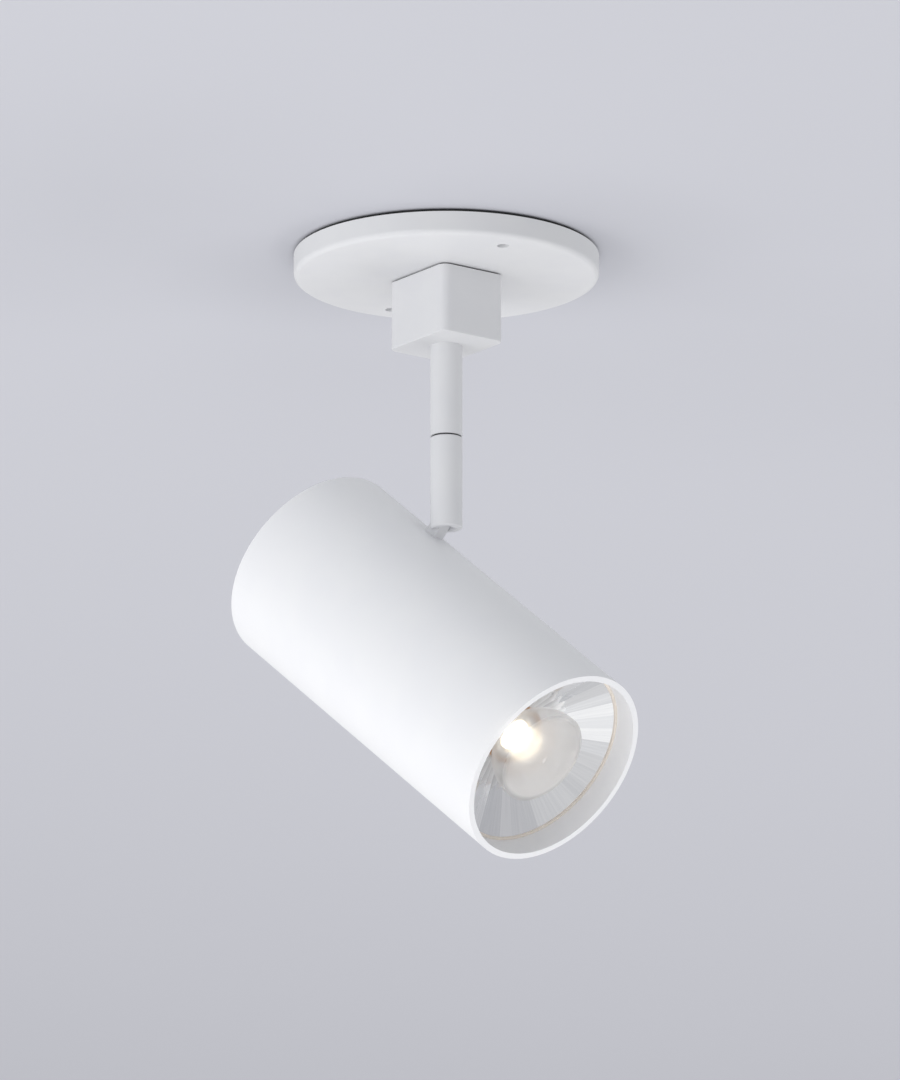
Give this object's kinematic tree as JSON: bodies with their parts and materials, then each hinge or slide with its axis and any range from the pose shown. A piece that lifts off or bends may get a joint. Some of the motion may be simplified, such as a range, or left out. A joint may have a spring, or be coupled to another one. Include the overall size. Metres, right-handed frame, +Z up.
{
  "type": "ceiling spotlight",
  "caption": "Surface mounted spotlight: round canopy, rectangular housing, swivel stem and tilting cylindrical head with a recessed faceted optic.",
  "frame": {"origin": "middle of the canopy in the ceiling plane", "axes": "+Z up into the ceiling; X and Y square to the housing's faces; the head points mostly towards -Y"},
  "size_m": [0.1142, 0.1621, 0.2359],
  "materials": {
    "white_coat": "matt white powder coat",
    "black_foam": "closed-cell foam",
    "black_plastic": "matt",
    "zinc_steel": "zinc plated",
    "brass": "machined",
    "pale_plastic": "moulded",
    "lead_insulation": "smooth",
    "bare_aluminium": "machined",
    "bright_metal": "vacuum metallised",
    "tan_silicone": "satin",
    "clear_lens": "polished",
    "warm_phosphor": "lit phosphor"
  },
  "bodies": {
    "root": {"ceiling_gasket": "black_foam", "canopy": "white_coat", "earth_terminal": "brass", "box_gasket": "black_foam", "box_housing": "white_coat", "box_screws": "zinc_steel", "terminal_bracket": "zinc_steel", "terminal_block": "pale_plastic", "terminal_screws": "brass", "upper_stem": "white_coat", "stem_washer": "zinc_steel", "stem_nut": "zinc_steel", "stop_pin": "zinc_steel", "swivel_bush": "brass", "wave_washer": "zinc_steel", "swivel_washer": "black_plastic", "supply_leads": "lead_insulation"},
    "swivel": {"spindle": "zinc_steel", "lower_stem": "white_coat", "tilt_screw": "zinc_steel", "tilt_washers": "pale_plastic", "stem_leads": "lead_insulation"},
    "head": {"head_lug": "white_coat", "saddle_washer": "zinc_steel", "lug_nut": "zinc_steel", "head_tube": "white_coat", "optic_gasket": "tan_silicone", "reflector": "bright_metal", "lens": "clear_lens", "lens_ring": "tan_silicone", "led_holder": "pale_plastic", "led_board": "bare_aluminium", "led_emitter": "warm_phosphor", "led_holder_screws": "zinc_steel", "heat_sink": "bare_aluminium", "tie_rods": "zinc_steel", "rear_cap": "white_coat", "rear_cap_screws": "zinc_steel", "driver_tray": "zinc_steel", "driver": "pale_plastic", "driver_screws": "zinc_steel", "head_leads": "lead_insulation", "led_leads": "lead_insulation"}
  },
  "joints": [
    {"name": "swivel_turn", "type": "hinge", "parent": "root", "child": "swivel", "pos_m": [0, 0, -0.10095], "axis": [0, 0, 1], "range_deg": [-174.5, 145.5]},
    {"name": "head_tilt", "type": "hinge", "parent": "swivel", "child": "head", "pos_m": [0, 0, -0.10095], "axis": [-0.9681, -0.2504, 0], "range_deg": [-50.1, 39.9]}
  ]
}
